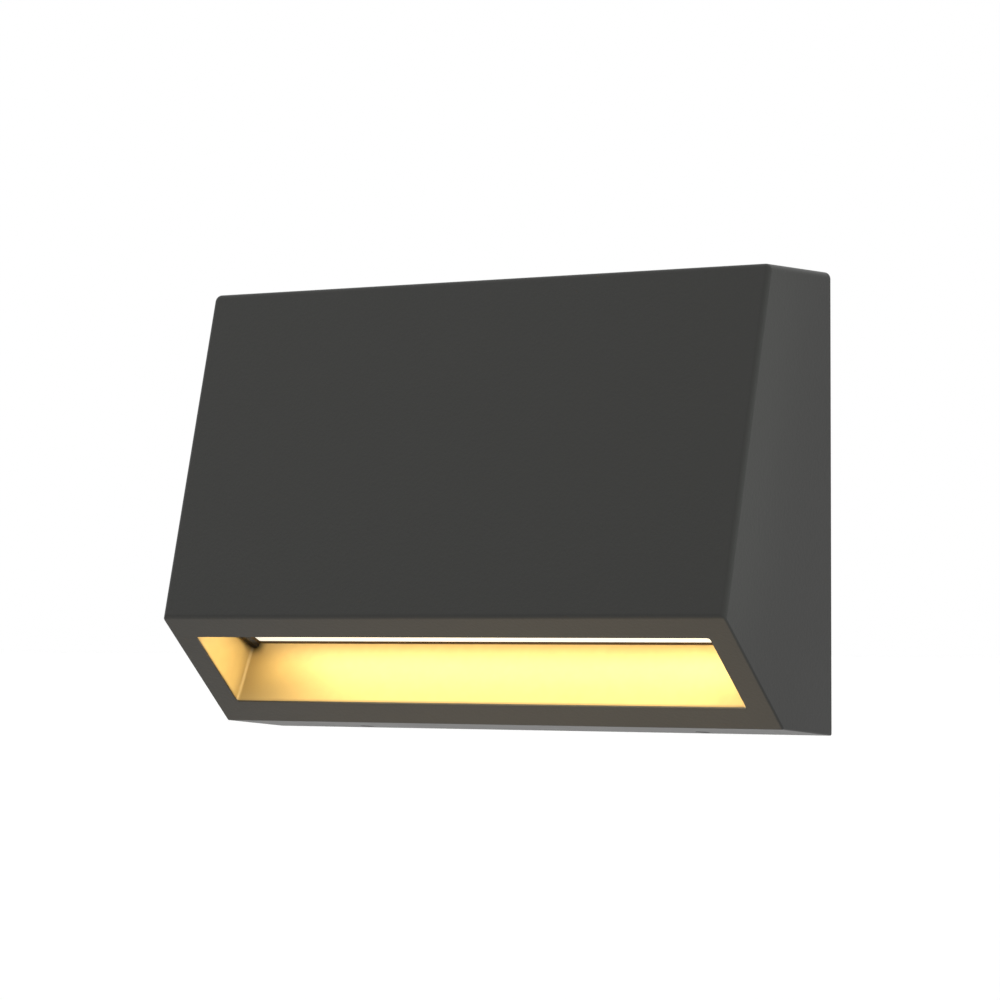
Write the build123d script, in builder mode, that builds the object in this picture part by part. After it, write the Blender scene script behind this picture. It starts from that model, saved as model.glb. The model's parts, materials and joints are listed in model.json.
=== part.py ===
from build123d import *
import os
from math import cos, radians, sin, sqrt

# Outdoor wall light: a wedge-shaped cast head hung on a screwed wall plate, its lamp facing down.
# X is to the right, Y goes into the wall and Z is up; the origin is the middle of the wall face.
# All sizes are in millimetres, and a depth is a distance forward from the wall.

# Outer form of the head
width = 230.0
height = 155.0
top_depth = 40.5  # wall to the upper front edge
knee_depth = 70.0  # wall to the knee, the foremost edge
knee_height = 39.5  # knee above the lower back edge
lip_depth = 32.5  # wall to the lower front edge
lip_height = 2.7  # lower front edge above the lower back edge
rim_gap = 0.5  # back rim of the head clear of the wall
wall = 3.0
roof_radius = 2.5  # long edges of the roof
front_radius = 1.8  # edges round the leaning front, the knee among them
lower_radius = 0.7  # edges of the lower front face

# Light recess in the lower front face
mouth_border = 9.8  # flat border round the mouth
recess_tilt = 25.0  # axis of the recess away from the vertical, in degrees
recess_depth = 23.8  # along the back of the recess, from the mouth to the diffuser
recess_radius = 1.0
lip_thickness = 0.5
tray_wall = 1.2
tray_rim = 1.5  # thickness of the tray's upper flange
tray_flange = 4.0  # reach of that flange, outward on the long sides
end_ledge = 2.5  # reach of that flange, inward at the ends

# Light engine above the recess
diffuser_seal_thickness = 1.0
diffuser_thickness = 2.0
chamber_height = 7.0
chamber_wall = 4.5
pad_thickness = 0.4
board_thickness = 1.6
board_width = 22.0
chip_length = 3.0
chip_width = 2.8
chip_height = 0.7
chip_pitch = 6.8
chip_margin = 4.5  # chips at least this far from the ends of the board
sink_thickness = 3.0
fin_height = 8.0
fin_thickness = 1.2
fin_pitch = 4.5
fin_front = 1.7  # first row of fins behind the front edge of the heat sink
fin_back = 9.0  # last row at least this far ahead of its back edge
post_width = 7.0
post_spacing = 15.5
post_hole = 9.0
board_screw_end = 16.2  # screws from the ends of the board
board_screw_side = 3.5  # screws from the sides of the board
board_margin = 3.0  # board short of the ends of the light chamber
connector_length = 6.0
connector_width = 9.0
connector_height = 4.0  # above the base of the heat sink
connector_inset = 5.0  # from the end of the board to the middle of the connector

# Wall plate and gasket
gasket_thickness = 1.5
gasket_width = 6.0
plate_inset = 8.0  # plate short of the side walls of the head
plate_thickness = 2.0
flange_reach = 12.0
hang_gap = 0.2  # upper flange under the roof of the head
slot_spacing = 140.0
slot_length = 12.0
slot_radius = 2.5
slot_height = 20.0  # above the middle of the wall face
bead_width = 7.0  # stiffening beads, pressed out of the plate towards the wall
bead_height = 0.8
bead_radius = 0.5

# Rear cover and its seat in the head
cover_depth = 17.0
cover_thickness = 2.0
rear_seal_thickness = 1.5
rear_seal_width = 3.0
ledge_width = 5.0
ledge_thickness = 4.0
boss_radius = 5.0
boss_length = 8.0
boss_overlap = 1.0  # bosses into the ledge
cover_gap = 0.5
cover_radius = 2.0
cover_bead_inset = 20.0  # stiffening bead of the cover from its edges

# Clamping by set screws from below
clamp_inset = 34.0  # set screws from the ends of the wall plate
clamp_depth = 9.0
clamp_boss_radius = 6.0
clamp_boss_height = 4.0
clamp_travel = 2.4
set_screw_radius = 2.5
set_screw_recess = 1.5
set_screw_tip = 1.2
set_screw_tip_radius = 1.5
clamp_pad_radius = 4.0
clamp_pad_thickness = 2.0
clamp_pad_gap = 0.1

# Terminal block, plug and cable entry
way_pitch = 14.0
block_width = 44.0
block_height = 28.0
block_thickness = 9.0
block_ear = 7.0
block_ear_thickness = 3.0
block_radius = 1.5
block_chamfer = 0.8
socket_rise = 65.5  # row of sockets above the lower back edge
socket_inset = 6.0  # row of sockets below the top of the block
contact_size = 5.0
contact_setback = 4.0  # plate to the middle of the contacts
contact_inset = 0.5  # contacts below the top of the block
block_floor = 2.5  # plastic under the contacts
clamp_row_rise = 7.0  # row of clamping screws above the foot of the block
clamp_screw_sink = 1.0  # clamping screws below the face of the block
screw_slot = 0.6
pin_radius = 1.0
pin_reach = 7.0
plug_gap = 0.3
plug_width = 38.0
plug_height = 10.0
plug_tail = 5.0
plug_ear = 9.0
plug_ear_thickness = 2.5
plug_radius = 1.2
plug_ear_overlap = 4.0  # flange of the plug over the edge of its opening
grommet_rise = 30.5  # cable entry above the lower back edge
grommet_bore = 4.0
grommet_neck = 8.5
grommet_flange = 1.8

# Driver
driver_length = 110.0
driver_height = 42.0
driver_case_depth = 18.0
driver_wall = 1.5
driver_base = 2.0
driver_foot = 9.0
driver_stand = 3.0  # feet of the driver ahead of the rear cover
driver_rise = 14.5  # driver above the row of sockets
driver_terminal = 4.0
terminal_pitch = 4.0
terminal_drop = 11.0  # lead terminals below the middle of the driver

# Leads and fasteners
lead_radius = 0.9
earth_wire_radius = 1.2
lead_bend = 4.0
lead_stub = 6.0  # first straight run out of the plug
earth_wire_dip = 14.0  # earth wire below the block before it turns up
earth_wire_entry = 9.0  # earth wire inside the block
lug_crimp = 0.6
earth_gap = 16.0  # earth screw beside the ear of the terminal block
earth_rise = 4.0  # earth screw above the foot of the block
earth_boss_hole = 8.0
earth_boss_inset = 34.0  # earth boss from the side wall of the head
earth_boss_rise = 11.5  # earth boss above the middle of the driver
vent_radius = 3.0
vent_rim = 2.0
vent_inset = 32.0  # vent from the side wall of the head
vent_rise = 2.0  # vent above the row of sockets
lug_thickness = 0.8
lug_radius = 4.0
lug_tongue = 8.0
lug_barrel = 6.0
lug_stop = 1.0  # solid end of a lug's barrel
screw_radius = 2.0
small_screw_radius = 1.5
tiny_screw_radius = 1.0
head_ratio = 1.7  # head radius for each unit of shank radius
fit = 0.05  # a shank in its threaded hole
slack = 0.3  # a piece in its opening
step = 0.1  # a loose fit between small pieces

# Heights and lines of the outer form
top = height / 2
bottom = -height / 2
knee_z = bottom + knee_height
lip_z = bottom + lip_height
socket_z = bottom + socket_rise
grommet_z = bottom + grommet_rise
lean = (knee_depth - top_depth) / (top - knee_z)
floor_rise = lip_height / (lip_depth - rim_gap)


def front_depth(z):
    # Depth of the inner face of the leaning front wall at a height
    return top_depth + (top - z) * lean - wall * sqrt(1 + lean**2)


def floor_z(depth):
    # Height of the outer face of the floor at a depth
    return bottom + (depth - rim_gap) * floor_rise


def at_depth(depth):
    # Upright plane facing away from the wall
    return Plane.XZ.offset(depth)


def facing_wall(x, depth, z):
    return Plane(origin=(x, -depth, z), x_dir=(1, 0, 0), z_dir=(0, 1, 0))


def facing_room(x, depth, z):
    return Plane(origin=(x, -depth, z), x_dir=(1, 0, 0), z_dir=(0, -1, 0))


# The recess and the light engine share one tilted axis, level zero being the lower edge of the mouth
lip_edge = Vector(0, -lip_depth, lip_z)
knee_edge = Vector(0, -knee_depth, knee_z)
mouth_run = (knee_edge - lip_edge).normalized()
mouth_low = lip_edge + mouth_run * mouth_border
mouth_high = knee_edge - mouth_run * mouth_border
mouth_outward = Vector(1, 0, 0).cross(mouth_run)
engine_axis = Vector(0, sin(radians(recess_tilt)), cos(radians(recess_tilt)))
engine_front = Vector(0, -engine_axis.Z, engine_axis.Y)
recess_width = width - 2 * mouth_border
recess_height = (mouth_high - mouth_low).dot(engine_front)
engine = Plane(
    origin=mouth_low + engine_front * (recess_height / 2),
    x_dir=(1, 0, 0),
    z_dir=engine_axis,
)
lip_plane = Plane(origin=mouth_low - mouth_outward * lip_thickness, x_dir=(1, 0, 0), z_dir=-mouth_outward)
mouth_slope = (mouth_high - mouth_low).dot(engine_axis) / recess_height

# Levels along the tilted axis
tray_top = recess_depth - diffuser_seal_thickness
frame_level = recess_depth + diffuser_thickness
sink_level = frame_level + chamber_height
board_level = sink_level - pad_thickness - board_thickness
chip_level = board_level - chip_height
tray_length = recess_width + 2 * tray_wall
tray_height = recess_height + 2 * tray_wall
engine_length = tray_length - 2 * slack
engine_height = recess_height + 2 * tray_flange - 2 * slack
chamber_length = recess_width - 2 * end_ledge
chamber_span = engine_height - 2 * chamber_wall
board_length = chamber_length - 2 * board_margin
connector_x = connector_inset - board_length / 2
connector_top = sink_level + sink_thickness + connector_height
chip_count = int((board_length - 2 * chip_margin - chip_length) / chip_pitch) + 1
sink_width = engine_height - chamber_wall
fin_length = board_length - 4 * (connector_inset + slack)
fin_count = int((sink_width - fin_front - fin_back) / fin_pitch) + 1
fin_middle = fin_front + (fin_count - 1) * fin_pitch / 2 - sink_width / 2

# Depths of the wall plate, the plug and the rear cover
plate_front = gasket_thickness + plate_thickness
block_front = plate_front + block_thickness
cover_front = cover_depth + cover_thickness
ledge_depth = cover_front + rear_seal_thickness
contact_depth = plate_front + contact_setback
plug_back = block_front + plug_gap
plug_front = cover_front + plug_tail
inner_half = width / 2 - wall
inner_top = top - wall
plate_width = 2 * (inner_half - plate_inset)
clamp_x = plate_width / 2 - clamp_inset
inner_floor = floor_z(ledge_depth) + wall * sqrt(1 + floor_rise**2)
ledge_middle = (inner_top + inner_floor) / 2
cover_size = (2 * (inner_half - cover_gap), inner_top - inner_floor - 2 * cover_gap)
ledge_opening = (2 * (inner_half - ledge_width), inner_top - inner_floor - 2 * ledge_width)

# Set screws, pads and the plate's lower flange, one stacked on the other
clamp_boss_top = floor_z(clamp_depth) + wall + clamp_boss_height
clamp_pad_low = clamp_boss_top + clamp_travel + step
clamp_pad_high = clamp_pad_low + clamp_pad_thickness
set_screw_low = floor_z(clamp_depth) + set_screw_recess
plate_low = clamp_pad_high + clamp_pad_gap
plate_high = inner_top - hang_gap
plate_middle = (plate_low + plate_high) / 2
side_bead_x = (slot_spacing / 2 + plate_width / 2 - gasket_width) / 2
side_bead_length = (plate_high - plate_low) / 2
upper_bead_z = (slot_height + plate_high) / 2
beads = [
    (0, upper_bead_z, slot_spacing, 0),
    (0, slot_height, slot_spacing - 3 * slot_length, 0),
    (-side_bead_x, plate_middle, side_bead_length, 90),
    (side_bead_x, plate_middle, side_bead_length, 90),
]

# Places of fasteners
boss_inset = ledge_width + boss_radius - boss_overlap
boss_x = inner_half - boss_inset
boss_high = inner_top - boss_inset
boss_low = inner_floor + boss_inset
boss_places = [(x, z) for x in (-boss_x, boss_x) for z in (boss_low, ledge_middle, boss_high)]
boss_places += [(0, boss_low), (0, boss_high)]
post_inner = tray_length / 2 + slack
post_middle = inner_half - head_ratio * small_screw_radius - slack
post_places = [(x, y) for x in (-post_middle, post_middle) for y in (-post_spacing / 2, post_spacing / 2)]
board_screw_x = board_length / 2 - board_screw_end
board_screw_y = board_width / 2 - board_screw_side
board_screw_places = [
    (x, y) for x in (-board_screw_x, board_screw_x) for y in (-board_screw_y, board_screw_y)
]
way_places = [-way_pitch, 0, way_pitch]
block_top = socket_z + socket_inset
block_low = block_top - block_height
clamp_row = block_low + clamp_row_rise
block_screw_x = block_width / 2 + block_ear / 2
plug_screw_x = plug_width / 2 + plug_ear / 2
driver_middle = socket_z + driver_rise + driver_height / 2
driver_back = cover_front + driver_stand
driver_foot_x = driver_length / 2 + driver_foot / 2
driver_feet = [(-driver_foot_x, driver_middle), (driver_foot_x, driver_middle)]
driver_end = driver_length / 2 + driver_terminal
terminal_depth = driver_back + driver_base + driver_case_depth / 2
terminal_z = driver_middle - terminal_drop
terminal_span = 4 * terminal_pitch
earth_boss_depth = driver_back + 4 * driver_base
earth_place = (-block_width / 2 - block_ear - earth_gap, block_low + earth_rise)
head_earth_place = (earth_boss_inset - inner_half, driver_middle + earth_boss_rise)
vent_place = (inner_half - vent_inset, socket_z + vent_rise)


def pan_screw(radius, length):
    # Cross-recessed screw at each active place: local XY is its seat and the head is above it
    head_height = 1.2 * radius
    Cylinder(head_ratio * radius, head_height, align=(Align.CENTER, Align.CENTER, Align.MIN))
    Cylinder(radius, length, align=(Align.CENTER, Align.CENTER, Align.MAX))
    with Locations((0, 0, head_height)):
        for reach in ((2.0 * radius, 0.45 * radius), (0.45 * radius, 2.0 * radius)):
            Box(*reach, 0.8 * radius, align=(Align.CENTER, Align.CENTER, Align.MAX), mode=Mode.SUBTRACT)


def ring_lug(wire_radius):
    # Crimp lug at each active place: its ring lies on local XY and its barrel points along local X
    barrel_radius = wire_radius + lug_crimp
    Cylinder(lug_radius, lug_thickness, align=(Align.CENTER, Align.CENTER, Align.MIN))
    Box(lug_tongue + lug_stop, 2 * barrel_radius, lug_thickness, align=(Align.MIN, Align.CENTER, Align.MIN))
    with Locations(Location((lug_tongue, 0, barrel_radius), (0, 90, 0))):
        Cylinder(barrel_radius, lug_barrel, align=(Align.CENTER, Align.CENTER, Align.MIN))
    with Locations(Location((lug_tongue + lug_stop, 0, barrel_radius), (0, 90, 0))):
        Cylinder(wire_radius + fit, lug_barrel, align=(Align.CENTER, Align.CENTER, Align.MIN),
                 mode=Mode.SUBTRACT)
    Cylinder(screw_radius + step, 3 * lug_thickness, mode=Mode.SUBTRACT)


def lead(points, radius):
    # Insulated lead along straight runs joined by arcs
    with BuildPart() as piece:
        with BuildLine() as route:
            FilletPolyline(*points, radius=lead_bend)
        with BuildSketch(Plane(origin=route.line @ 0, z_dir=route.line % 0)):
            Circle(radius)
        sweep()
    return piece


def plate_beads(margin):
    # Outlines of the beads of the wall plate, drawn in by a margin
    for x, z, length, turn in beads:
        with Locations((x, z)):
            SlotOverall(length - 2 * margin, bead_width - 2 * margin, rotation=turn)


def cover_bead(margin):
    # Outline of the ring bead of the rear cover, its band drawn in by a margin
    ring = [size - 2 * cover_bead_inset for size in cover_size]
    corner = 2 * bead_width
    band = bead_width - margin
    with Locations((0, ledge_middle)):
        RectangleRounded(ring[0] - 2 * margin, ring[1] - 2 * margin, corner - margin)
        RectangleRounded(ring[0] - 2 * band, ring[1] - 2 * band, corner - band, mode=Mode.SUBTRACT)


# Wall side

with BuildPart() as wall_gasket:
    with BuildSketch(at_depth(0)):
        with Locations((0, plate_middle)):
            RectangleRounded(plate_width, plate_high - plate_low, gasket_width / 2)
            Rectangle(plate_width - 2 * gasket_width, plate_high - plate_low - 2 * gasket_width,
                      mode=Mode.SUBTRACT)
    extrude(amount=gasket_thickness)

with BuildPart() as wall_plate:
    with BuildSketch(at_depth(gasket_thickness)):
        with Locations((0, plate_middle)):
            Rectangle(plate_width, plate_high - plate_low)
    extrude(amount=plate_thickness)
    with BuildSketch(at_depth(gasket_thickness)):
        for edge in (plate_high - plate_thickness / 2, plate_low + plate_thickness / 2):
            with Locations((0, edge)):
                Rectangle(plate_width, plate_thickness)
    extrude(amount=flange_reach)
    flange_corners = wall_plate.edges().filter_by(Axis.Z).group_by(Axis.Y)[0]
    fillet(flange_corners, radius=plate_thickness)
    with BuildSketch(at_depth(gasket_thickness)):
        plate_beads(0)
    extrude(amount=-bead_height)
    fillet(wall_plate.faces().group_by(Axis.Y)[-1].edges(), radius=bead_radius)
    with BuildSketch(at_depth(plate_front)):
        plate_beads(bead_height)
    extrude(amount=-bead_height, mode=Mode.SUBTRACT)
    with BuildSketch(at_depth(gasket_thickness)):
        with Locations((-slot_spacing / 2, slot_height), (slot_spacing / 2, slot_height)):
            SlotOverall(slot_length, 2 * slot_radius)
        with Locations((0, grommet_z)):
            Circle(grommet_neck)
        with Locations((-block_screw_x, socket_z), (block_screw_x, socket_z)):
            Circle(small_screw_radius + fit)
        with Locations(earth_place):
            Circle(screw_radius + fit)
    extrude(amount=plate_thickness, mode=Mode.SUBTRACT)

with BuildPart() as cable_grommet:
    with Locations(facing_room(0, slack, grommet_z)):
        Cylinder(grommet_neck + grommet_flange, gasket_thickness - slack,
                 align=(Align.CENTER, Align.CENTER, Align.MIN))
    with Locations(facing_room(0, gasket_thickness, grommet_z)):
        Cylinder(grommet_neck - fit, plate_thickness, align=(Align.CENTER, Align.CENTER, Align.MIN))
    with Locations(facing_room(0, plate_front, grommet_z)):
        Cone(grommet_neck + grommet_flange, grommet_neck - grommet_flange, 2 * grommet_flange,
             align=(Align.CENTER, Align.CENTER, Align.MIN))
    with Locations(facing_room(0, 0, grommet_z)):
        Cylinder(grommet_bore, block_front, align=(Align.CENTER, Align.CENTER, Align.MIN), mode=Mode.SUBTRACT)

with BuildPart() as terminal_block:
    with BuildSketch(at_depth(plate_front)):
        with Locations((0, block_top - block_height / 2)):
            RectangleRounded(block_width, block_height, block_radius)
    extrude(amount=block_thickness)
    chamfer(terminal_block.faces().sort_by(Axis.Y)[0].edges(), length=block_chamfer)
    with BuildSketch(at_depth(plate_front)):
        with Locations((0, socket_z)):
            RectangleRounded(block_width + 2 * block_ear, block_ear, block_radius)
    extrude(amount=block_ear_thickness)
    with Locations(*[facing_room(x, 0, socket_z) for x in (-block_screw_x, block_screw_x)]):
        Cylinder(small_screw_radius + step, 3 * block_front, mode=Mode.SUBTRACT)
    with Locations(*[(x, -contact_depth, block_top) for x in way_places]):
        pocket = contact_size + 2 * step
        Box(pocket, pocket, block_height - block_floor + step, align=(Align.CENTER, Align.CENTER, Align.MAX),
            mode=Mode.SUBTRACT)
        Cylinder(earth_wire_radius + slack, 3 * block_height, mode=Mode.SUBTRACT)
    with Locations(*[facing_room(x, contact_depth, socket_z) for x in way_places]):
        Cylinder(pin_radius + slack, block_thickness, align=(Align.CENTER, Align.CENTER, Align.MIN),
                 mode=Mode.SUBTRACT)
    with Locations(*[facing_room(x, contact_depth, clamp_row) for x in way_places]):
        Cylinder(small_screw_radius + slack, block_thickness, align=(Align.CENTER, Align.CENTER, Align.MIN),
                 mode=Mode.SUBTRACT)

with BuildPart() as terminal_contacts:
    contact_length = block_height - block_floor - contact_inset
    with Locations(*[(x, -contact_depth, block_top - contact_inset) for x in way_places]):
        Box(contact_size, contact_size, contact_length, align=(Align.CENTER, Align.CENTER, Align.MAX))
    with Locations(*[(x, -contact_depth, block_low + block_floor) for x in way_places]):
        Cylinder(earth_wire_radius + step, contact_length / 2, align=(Align.CENTER, Align.CENTER, Align.MIN),
                 mode=Mode.SUBTRACT)
    with Locations(*[facing_room(x, contact_depth, socket_z) for x in way_places]):
        Cylinder(pin_radius + step, 2 * contact_size, mode=Mode.SUBTRACT)
    with Locations(*[facing_room(x, contact_depth, clamp_row) for x in way_places]):
        Cylinder(small_screw_radius + fit, contact_size, align=(Align.CENTER, Align.CENTER, Align.MIN),
                 mode=Mode.SUBTRACT)

with BuildPart() as terminal_screws:
    clamp_head = block_front - clamp_screw_sink
    clamp_screw_length = clamp_head - contact_depth - earth_wire_radius - 2 * step
    with Locations(*[facing_room(x, clamp_head, clamp_row) for x in way_places]):
        Cylinder(small_screw_radius, clamp_screw_length, align=(Align.CENTER, Align.CENTER, Align.MAX))
        Box(3 * small_screw_radius, screw_slot, 2 * screw_slot, mode=Mode.SUBTRACT)

with BuildPart() as terminal_fixing_screws:
    ear_front = plate_front + block_ear_thickness
    with Locations(*[facing_room(x, ear_front, socket_z) for x in (-block_screw_x, block_screw_x)]):
        pan_screw(small_screw_radius, block_ear_thickness + plate_thickness)

with BuildPart() as earth_lug:
    with Locations(facing_room(earth_place[0], plate_front, earth_place[1])):
        ring_lug(earth_wire_radius)

with BuildPart() as earth_washer:
    with Locations(facing_room(earth_place[0], plate_front + lug_thickness, earth_place[1])):
        Cylinder(lug_radius, lug_thickness, align=(Align.CENTER, Align.CENTER, Align.MIN))
        Cylinder(screw_radius + step, 3 * lug_thickness, mode=Mode.SUBTRACT)

with BuildPart() as earth_screw:
    with Locations(facing_room(earth_place[0], plate_front + 2 * lug_thickness, earth_place[1])):
        pan_screw(screw_radius, 2 * lug_thickness + plate_thickness)

earth_wire_start = earth_place[0] + lug_tongue + lug_stop + step
earth_wire_depth = plate_front + earth_wire_radius + lug_crimp
earth_wire = lead(
    [
        (earth_wire_start, -earth_wire_depth, earth_place[1]),
        (earth_wire_start + 2 * lead_stub, -earth_wire_depth, earth_place[1]),
        (-way_pitch - 2 * lead_bend, -contact_depth, block_low - earth_wire_dip),
        (-way_pitch, -contact_depth, block_low - earth_wire_dip),
        (-way_pitch, -contact_depth, block_low + earth_wire_entry),
    ],
    earth_wire_radius,
)

# Lamp head: housing

outline = [
    (-rim_gap, top),
    (-top_depth, top),
    (-knee_depth, knee_z),
    (-lip_depth, lip_z),
    (-rim_gap, bottom),
]
hollow = [(2 * wall, top), *outline[1:4], (2 * wall, floor_z(-2 * wall))]

with BuildPart() as mouth_core:
    with BuildSketch(engine.offset(tray_top)):
        RectangleRounded(recess_width, recess_height, recess_radius)
    extrude(amount=-2 * tray_top)

with BuildPart() as tray_core:
    with BuildSketch(engine.offset(tray_top)):
        RectangleRounded(tray_length + 2 * slack, tray_height + 2 * slack, recess_radius + tray_wall)
    extrude(amount=-2 * tray_top)
    split(bisect_by=lip_plane, keep=Keep.TOP)

with BuildPart() as housing:
    with BuildSketch(Plane.YZ):
        Polygon(*outline, align=None)
    extrude(amount=width / 2, both=True)
    roof_edges = housing.edges().filter_by(Axis.Y).group_by(Axis.Z)[-1]
    fillet(roof_edges, radius=roof_radius)
    front_edges = housing.faces().sort_by(Axis.Y)[0].edges()
    fillet(front_edges, radius=front_radius)
    rim_edges = housing.faces().sort_by(Axis.Y)[-1].edges()
    lower_edges = (housing.edges() - rim_edges).filter_by_position(Axis.Z, bottom, knee_z - 2 * front_radius)
    fillet(lower_edges, radius=lower_radius)
    with BuildSketch(Plane.YZ):
        Polygon(*hollow, align=None)
        offset(amount=-wall)
    extrude(amount=inner_half, both=True, mode=Mode.SUBTRACT)
    with BuildSketch(at_depth(ledge_depth)):
        with Locations((0, ledge_middle)):
            Rectangle(width - wall, inner_top - inner_floor + wall)
            Rectangle(*ledge_opening, mode=Mode.SUBTRACT)
    extrude(amount=ledge_thickness)
    with BuildSketch(at_depth(ledge_depth)):
        with Locations(*boss_places):
            Circle(boss_radius)
    extrude(amount=boss_length)
    for x, y in post_places:
        post_foot = (recess_height / 2 - y + post_width / 2) * mouth_slope + slack
        outer_x = inner_half + wall / 2
        with BuildSketch(engine.offset(sink_level)):
            with Locations(((post_inner + outer_x) / 2 * (1 if x > 0 else -1), y)):
                Rectangle(outer_x - post_inner, post_width)
        extrude(amount=-(sink_level - post_foot))
    with BuildSketch(at_depth(earth_boss_depth)):
        with Locations(head_earth_place):
            Circle(boss_radius)
    earth_boss_end = front_depth(head_earth_place[1] - boss_radius) + slack
    extrude(amount=earth_boss_end - earth_boss_depth)
    with BuildSketch(Plane.XY.offset(clamp_boss_top)):
        with Locations((-clamp_x, -clamp_depth), (clamp_x, -clamp_depth)):
            Circle(clamp_boss_radius)
    extrude(amount=-(clamp_boss_height + wall / 2))
    add(tray_core.part, mode=Mode.SUBTRACT)
    add(mouth_core.part, mode=Mode.SUBTRACT)
    with Locations(*[facing_wall(x, ledge_depth, z) for x, z in boss_places]):
        Cylinder(screw_radius + fit, boss_length, align=(Align.CENTER, Align.CENTER, Align.MAX),
                 mode=Mode.SUBTRACT)
    with Locations(*[engine.offset(sink_level) * Location((x, y, 0)) for x, y in post_places]):
        Cylinder(small_screw_radius + fit, post_hole, align=(Align.CENTER, Align.CENTER, Align.MAX),
                 mode=Mode.SUBTRACT)
    with Locations(facing_wall(head_earth_place[0], earth_boss_depth, head_earth_place[1])):
        Cylinder(screw_radius + fit, earth_boss_hole, align=(Align.CENTER, Align.CENTER, Align.MAX),
                 mode=Mode.SUBTRACT)
    with Locations(*[(x, -clamp_depth, clamp_boss_top) for x in (-clamp_x, clamp_x)]):
        Cylinder(set_screw_radius + fit, 4 * (wall + clamp_boss_height), mode=Mode.SUBTRACT)

# Lamp head: recess and light engine

with BuildPart() as reflector_tray:
    with BuildSketch(engine.offset(tray_top)):
        RectangleRounded(tray_length, tray_height, recess_radius + tray_wall)
    extrude(amount=-2 * tray_top)
    split(bisect_by=lip_plane, keep=Keep.TOP)
    with BuildSketch(engine.offset(tray_top)):
        Rectangle(tray_length, recess_height + 2 * tray_flange)
    extrude(amount=-tray_rim)
    with BuildSketch(engine.offset(tray_top - tray_rim)):
        RectangleRounded(recess_width, recess_height, recess_radius)
    extrude(amount=-2 * tray_top, mode=Mode.SUBTRACT)
    with BuildSketch(engine.offset(tray_top)):
        Rectangle(chamber_length, recess_height)
    extrude(amount=-tray_rim, mode=Mode.SUBTRACT)

with BuildPart() as diffuser_seal:
    with BuildSketch(engine.offset(tray_top)):
        Rectangle(engine_length, engine_height)
        Rectangle(chamber_length, recess_height, mode=Mode.SUBTRACT)
    extrude(amount=diffuser_seal_thickness)

with BuildPart() as diffuser:
    with BuildSketch(engine.offset(recess_depth)):
        Rectangle(engine_length, engine_height)
    extrude(amount=diffuser_thickness)

with BuildPart() as diffuser_frame:
    with BuildSketch(engine.offset(frame_level)):
        Rectangle(engine_length, engine_height)
        Rectangle(chamber_length, chamber_span, mode=Mode.SUBTRACT)
    extrude(amount=chamber_height)

with BuildPart() as led_board:
    with BuildSketch(engine.offset(board_level)):
        Rectangle(board_length, board_width)
        with Locations(*board_screw_places):
            Circle(tiny_screw_radius + step, mode=Mode.SUBTRACT)
    extrude(amount=board_thickness)

with BuildPart() as led_chips:
    with BuildSketch(engine.offset(chip_level)):
        with GridLocations(chip_pitch, 0, chip_count, 1):
            Rectangle(chip_length, chip_width)
    extrude(amount=chip_height)

with BuildPart() as led_board_screws:
    seat = Plane(origin=engine.offset(board_level).origin, x_dir=(1, 0, 0), z_dir=-engine_axis)
    with Locations(*[seat * Location((x, y, 0)) for x, y in board_screw_places]):
        pan_screw(tiny_screw_radius, board_thickness + pad_thickness + sink_thickness)

with BuildPart() as thermal_pad:
    with BuildSketch(engine.offset(sink_level)):
        Rectangle(board_length, board_width)
        with Locations(*board_screw_places):
            Circle(tiny_screw_radius + step, mode=Mode.SUBTRACT)
        with Locations((connector_x, 0)):
            Rectangle(connector_length + 2 * slack, connector_width + 2 * slack, mode=Mode.SUBTRACT)
    extrude(amount=-pad_thickness)

with BuildPart() as board_connector:
    with BuildSketch(engine.offset(sink_level - pad_thickness)):
        with Locations((connector_x, 0)):
            Rectangle(connector_length, connector_width)
    extrude(amount=connector_top - sink_level + pad_thickness)

with BuildPart() as heat_sink:
    with BuildSketch(engine.offset(sink_level)):
        Rectangle(engine_length, sink_width)
        with GridLocations(0, post_spacing, 1, 2):
            Rectangle(2 * (inner_half - slack), post_width)
        with Locations(*post_places):
            Circle(small_screw_radius + slack, mode=Mode.SUBTRACT)
        with Locations(*board_screw_places):
            Circle(tiny_screw_radius + fit, mode=Mode.SUBTRACT)
        with Locations((connector_x, 0)):
            Rectangle(connector_length + 2 * slack, connector_width + 2 * slack, mode=Mode.SUBTRACT)
    extrude(amount=sink_thickness)
    with BuildSketch(engine.offset(sink_level + sink_thickness)):
        with Locations((0, fin_middle)):
            with GridLocations(0, fin_pitch, 1, fin_count):
                Rectangle(fin_length, fin_thickness)
    extrude(amount=fin_height)

with BuildPart() as heat_sink_screws:
    sink_top = engine.offset(sink_level + sink_thickness)
    with Locations(*[sink_top * Location((x, y, 0)) for x, y in post_places]):
        pan_screw(small_screw_radius, sink_thickness + post_hole - slack)

# Lamp head: rear cover and plug

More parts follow.
